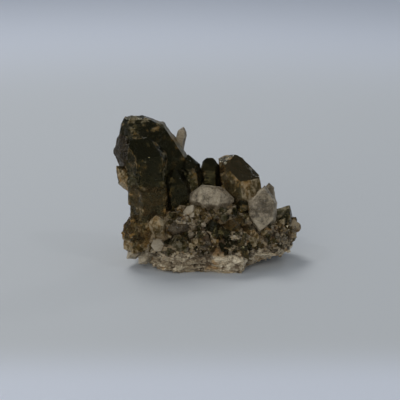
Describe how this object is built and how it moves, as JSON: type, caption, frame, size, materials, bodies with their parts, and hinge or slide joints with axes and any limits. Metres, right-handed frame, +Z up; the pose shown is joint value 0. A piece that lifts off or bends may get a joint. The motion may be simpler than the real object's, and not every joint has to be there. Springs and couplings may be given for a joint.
{
  "type": "smoky quartz cluster",
  "caption": "Cluster of smoky quartz crystals, from a big leaning prism to small frosted points, grown on a craggy lump of rock with a flat base to stand on.",
  "frame": {"origin": "on the ground under the middle of the specimen's bounding box", "axes": "+Z up, -Y towards the front, which shows the most crystals, +X right along the longest side; the big crystal leans towards -X"},
  "size_m": [0.0812, 0.0538, 0.0631],
  "materials": {
    "smoky_dark": "vitreous, near-black smoky quartz that glows brown in thin edges",
    "smoky_amber": "vitreous, translucent amber-brown smoky quartz",
    "frosted_quartz": "frosted, dusty, pale grey-brown quartz",
    "rock": "rough crumbly matrix with ochre stain and sparkling druse"
  },
  "bodies": {
    "root": {"lower_left": "smoky_amber", "left_column": "smoky_amber", "leaning_giant": "smoky_dark", "chisel_front": "smoky_dark", "amber_right": "smoky_amber", "dark_blade": "smoky_dark", "dark_middle": "smoky_dark", "dark_notch": "smoky_dark", "pale_block": "frosted_quartz", "frosted_blade": "frosted_quartz", "right_end": "smoky_dark", "front_dome": "smoky_dark", "front_dark": "smoky_dark", "back_spike": "frosted_quartz", "pale_stub": "smoky_amber", "pale_button": "frosted_quartz", "side_prism": "frosted_quartz", "glint_sliver": "frosted_quartz", "under_amber": "smoky_dark", "crumb_left": "smoky_amber", "crumb_right": "smoky_amber", "sliver_right": "frosted_quartz", "ribbed_upper": "frosted_quartz", "ribbed_lower": "smoky_amber", "fringe_outer": "frosted_quartz", "fringe_inner": "frosted_quartz", "back_left": "smoky_dark", "back_middle": "smoky_dark", "back_right": "smoky_amber", "back_corner": "smoky_dark", "back_low": "smoky_amber", "back_low_left": "smoky_dark", "rock_matrix": "rock"}
  },
  "joints": []
}
